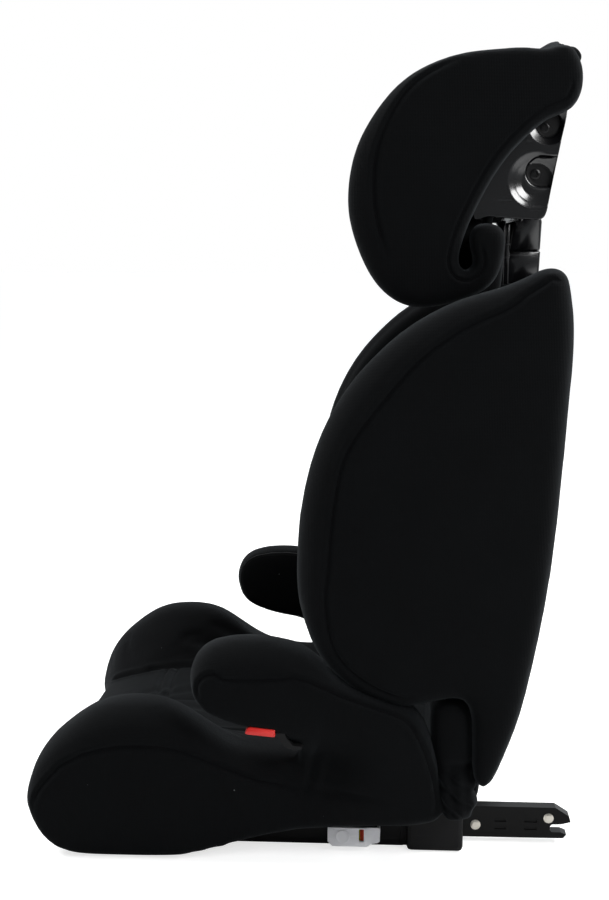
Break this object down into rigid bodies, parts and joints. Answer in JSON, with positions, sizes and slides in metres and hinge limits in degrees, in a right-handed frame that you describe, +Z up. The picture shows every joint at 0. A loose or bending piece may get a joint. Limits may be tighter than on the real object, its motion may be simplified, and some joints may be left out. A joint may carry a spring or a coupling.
{
  "type": "child booster seat",
  "caption": "High-back child booster seat with padded wings, height-adjustable headrest, padded armrests with lap-belt hooks and two sliding lower anchor arms.",
  "frame": {"origin": "middle of the flat underside of the base", "axes": "+X towards the occupant's left, +Y rearwards, +Z up"},
  "size_m": [0.4416, 0.4814, 0.708],
  "materials": {
    "black_fabric": "fine-knit black polyester cover over foam, matt",
    "gloss_black_plastic": "polished black moulding",
    "matt_black_plastic": "black moulding with a fine grain",
    "white_foam": "expanded foam blocks",
    "black_steel": "black coated steel, half gloss",
    "zinc_steel": "zinc plated steel",
    "red_plastic": "red moulding",
    "indicator_label": "two-colour indicator strip",
    "grey_plastic": "light grey moulding"
  },
  "bodies": {
    "base": {"base_shell": "matt_black_plastic", "bottom_tray": "matt_black_plastic", "seat_cover": "black_fabric", "armrest_frame_left": "matt_black_plastic", "armrest_frame_right": "matt_black_plastic", "armrest_pad_left": "black_fabric", "armrest_pad_right": "black_fabric", "belt_guide_left": "red_plastic", "belt_guide_right": "red_plastic", "belt_guide_lip_left": "matt_black_plastic", "belt_guide_lip_right": "matt_black_plastic", "anchor_housing_left": "matt_black_plastic", "anchor_housing_right": "matt_black_plastic", "anchor_channel_left": "black_steel", "anchor_channel_right": "black_steel", "indicator_strip_left": "indicator_label", "indicator_strip_right": "indicator_label", "hinge_sleeve_left": "black_fabric", "hinge_sleeve_right": "black_fabric", "pivot_bracket_left": "matt_black_plastic", "pivot_bracket_right": "matt_black_plastic", "pivot_rod": "zinc_steel"},
    "backrest": {"back_shell": "matt_black_plastic", "guide_channel": "matt_black_plastic", "height_rack": "black_steel", "back_pad": "black_fabric", "foam_block_left": "white_foam", "foam_block_right": "white_foam", "wing_frame_left": "matt_black_plastic", "wing_frame_right": "matt_black_plastic", "side_wing_left": "black_fabric", "side_wing_right": "black_fabric"},
    "headrest": {"head_shell": "gloss_black_plastic", "head_pad": "black_fabric", "head_crown": "black_fabric", "head_stalk": "matt_black_plastic", "head_wing_frame_left": "matt_black_plastic", "head_wing_frame_right": "matt_black_plastic", "head_wing_left": "black_fabric", "head_wing_right": "black_fabric", "shell_screw_lower_left": "black_steel", "shell_screw_lower_right": "black_steel", "shell_screw_upper_left": "black_steel", "shell_screw_upper_right": "black_steel"},
    "height_handle": {"height_handle": "matt_black_plastic"},
    "lock_bar": {"lock_bar": "black_steel"},
    "anchor_arm_left": {"anchor_arm_left": "black_steel", "anchor_rivet_front_left": "zinc_steel", "anchor_rivet_rear_left": "zinc_steel"},
    "latch_hook_left": {"latch_hook_left": "zinc_steel"},
    "release_slider_left": {"release_slider_left": "grey_plastic"},
    "anchor_arm_right": {"anchor_arm_right": "black_steel", "anchor_rivet_front_right": "zinc_steel", "anchor_rivet_rear_right": "zinc_steel"},
    "latch_hook_right": {"latch_hook_right": "zinc_steel"},
    "release_slider_right": {"release_slider_right": "grey_plastic"}
  },
  "joints": [
    {"name": "recline", "type": "hinge", "parent": "base", "child": "backrest", "pos_m": [0, 0.178, 0.072], "axis": [-1, 0, 0], "range_deg": [0, 18]},
    {"name": "headrest_height", "type": "slide", "parent": "backrest", "child": "headrest", "axis": [0, 0.1392, 0.9903], "range_m": [-0.02, 0.12]},
    {"name": "height_handle_pull", "type": "slide", "parent": "headrest", "child": "height_handle", "axis": [0, 0.1392, 0.9903], "range_m": [-0.01, 0]},
    {"name": "lock_bar_draw", "type": "slide", "parent": "headrest", "child": "lock_bar", "axis": [0, 0.9903, -0.1392], "range_m": [0, 0.004]},
    {"name": "anchor_arm_left_slide", "type": "slide", "parent": "base", "child": "anchor_arm_left", "axis": [0, 1, 0], "range_m": [-0.07, 0.015]},
    {"name": "release_slider_left_pull", "type": "slide", "parent": "base", "child": "release_slider_left", "axis": [0, 1, 0], "range_m": [0, 0.008]},
    {"name": "latch_hook_left_turn", "type": "hinge", "parent": "anchor_arm_left", "child": "latch_hook_left", "pos_m": [0.1316, 0.259, 0.0235], "axis": [1, 0, 0], "range_deg": [0, 130]},
    {"name": "anchor_arm_right_slide", "type": "slide", "parent": "base", "child": "anchor_arm_right", "axis": [0, 1, 0], "range_m": [-0.02, 0.065]},
    {"name": "release_slider_right_pull", "type": "slide", "parent": "base", "child": "release_slider_right", "axis": [0, 1, 0], "range_m": [0, 0.008]},
    {"name": "latch_hook_right_turn", "type": "hinge", "parent": "anchor_arm_right", "child": "latch_hook_right", "pos_m": [-0.1316, 0.209, 0.0235], "axis": [1, 0, 0], "range_deg": [0, 130]}
  ],
  "couplings": [
    {"joint": "lock_bar_draw", "follows": "height_handle_pull", "ratio": -0.4},
    {"joint": "latch_hook_left_turn", "follows": "release_slider_left_pull", "rad_per_m": 283.62},
    {"joint": "latch_hook_right_turn", "follows": "release_slider_right_pull", "rad_per_m": 283.62}
  ]
}
